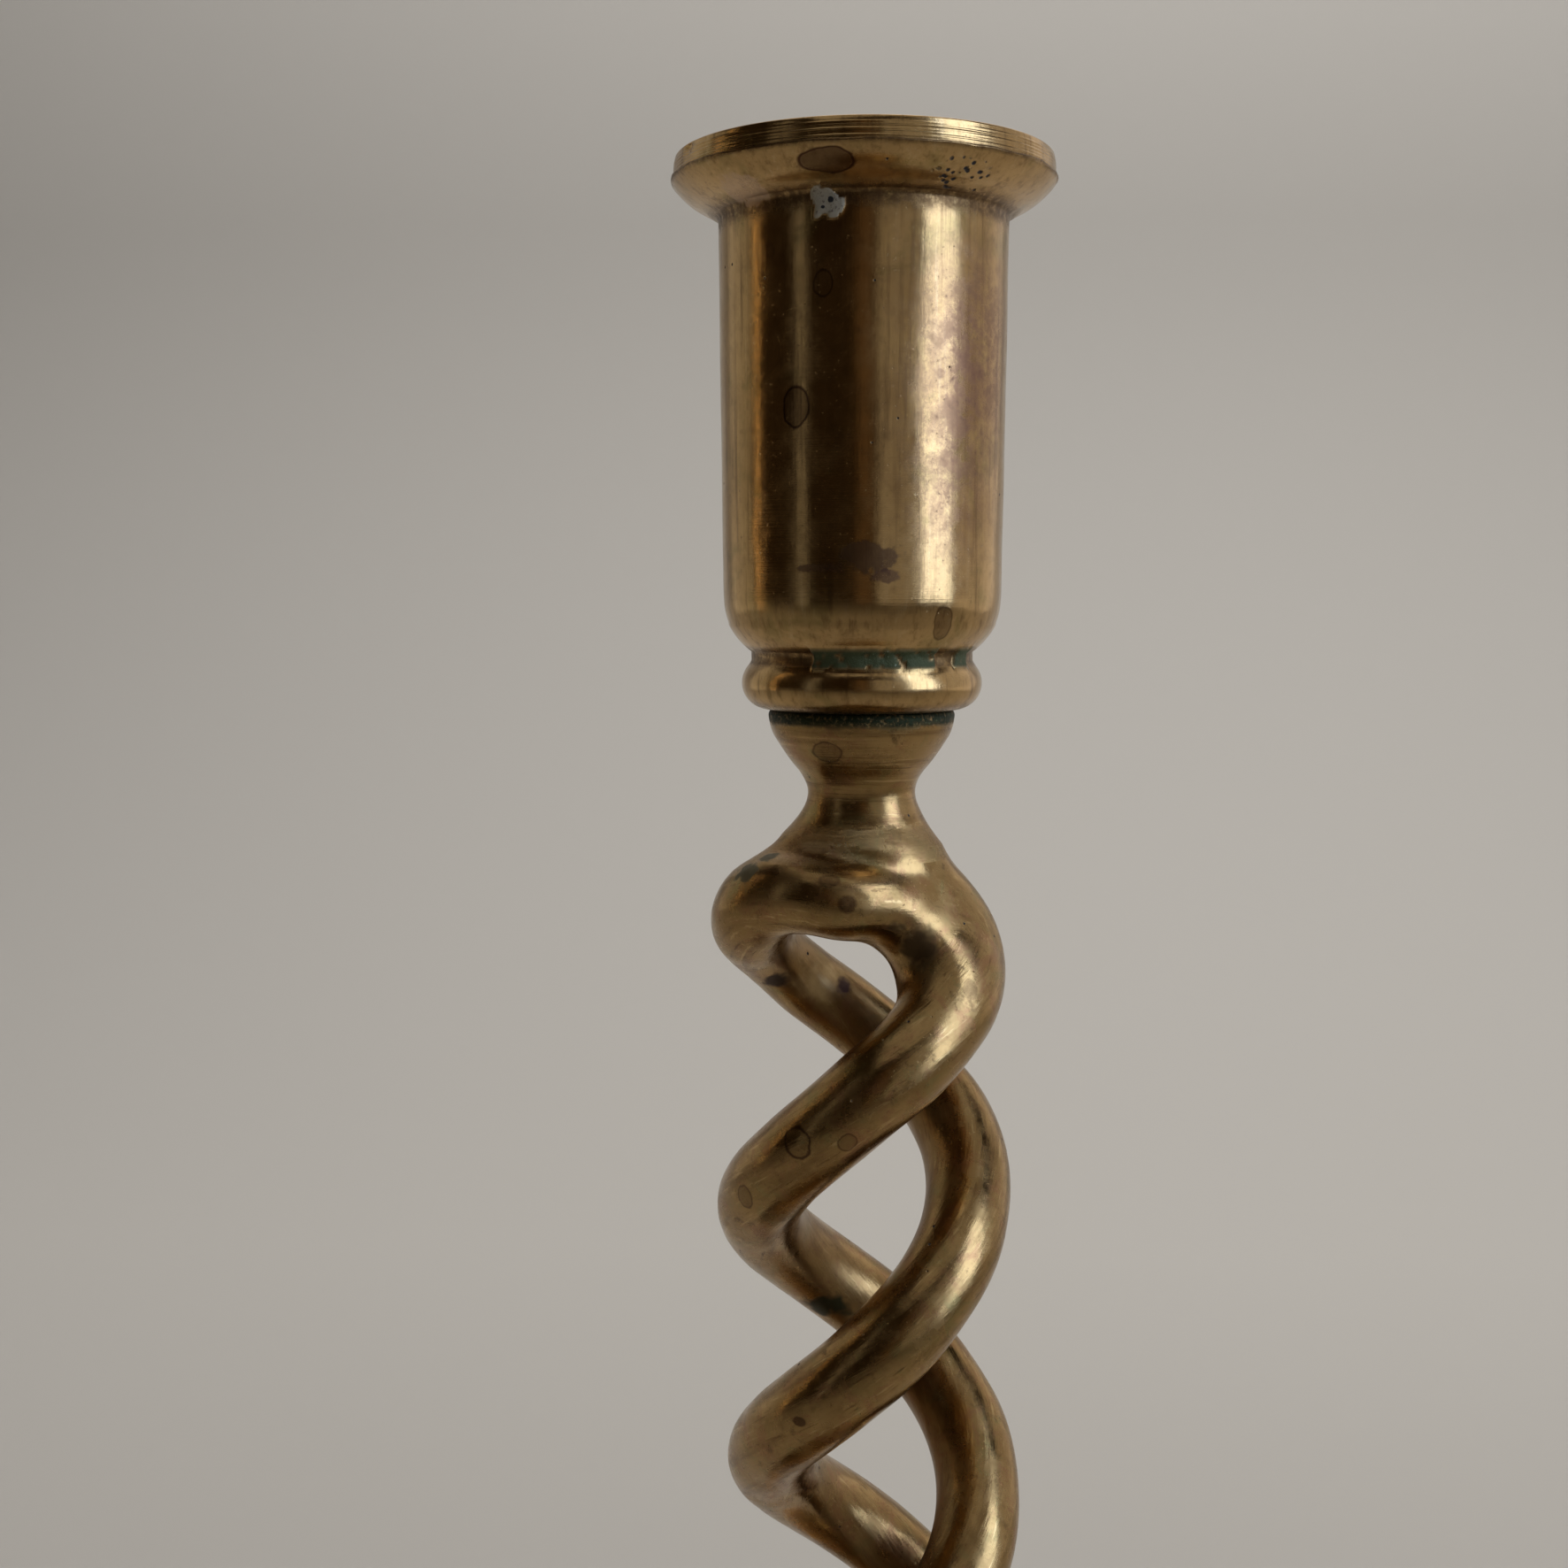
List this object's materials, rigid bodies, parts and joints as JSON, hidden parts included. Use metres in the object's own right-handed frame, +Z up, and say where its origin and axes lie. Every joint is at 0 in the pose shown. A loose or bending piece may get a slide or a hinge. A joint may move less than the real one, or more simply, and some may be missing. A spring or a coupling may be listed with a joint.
{
  "type": "candle holder",
  "caption": "Tall brass candle holder: a flared, bored cup on an open double-twist stem, screwed through a knop to a stepped round foot that is hollow below.",
  "frame": {"origin": "centre of the foot's resting ring, on the surface that the holder stands on", "axes": "+Z up along the cup's axis; +X to the right and +Y away from the viewer in the picture"},
  "size_m": [0.11, 0.11, 0.254],
  "materials": {
    "cup_brass": "aged, turned and hand-polished brass with tarnish",
    "stem_brass": "aged, turned and hand-polished brass with tarnish",
    "knop_brass": "aged, turned and hand-polished brass with tarnish",
    "foot_brass": "aged, turned and hand-polished brass with tarnish",
    "stud_brass": "plain turned brass",
    "steel": "plain dull steel with light rust"
  },
  "bodies": {
    "root": {"candle_cup": "cup_brass", "cup_stud": "stud_brass", "twist_stem": "stem_brass", "foot_knop": "knop_brass", "round_base": "foot_brass", "base_stud": "steel", "base_washer": "steel", "base_nut": "steel"}
  },
  "joints": []
}
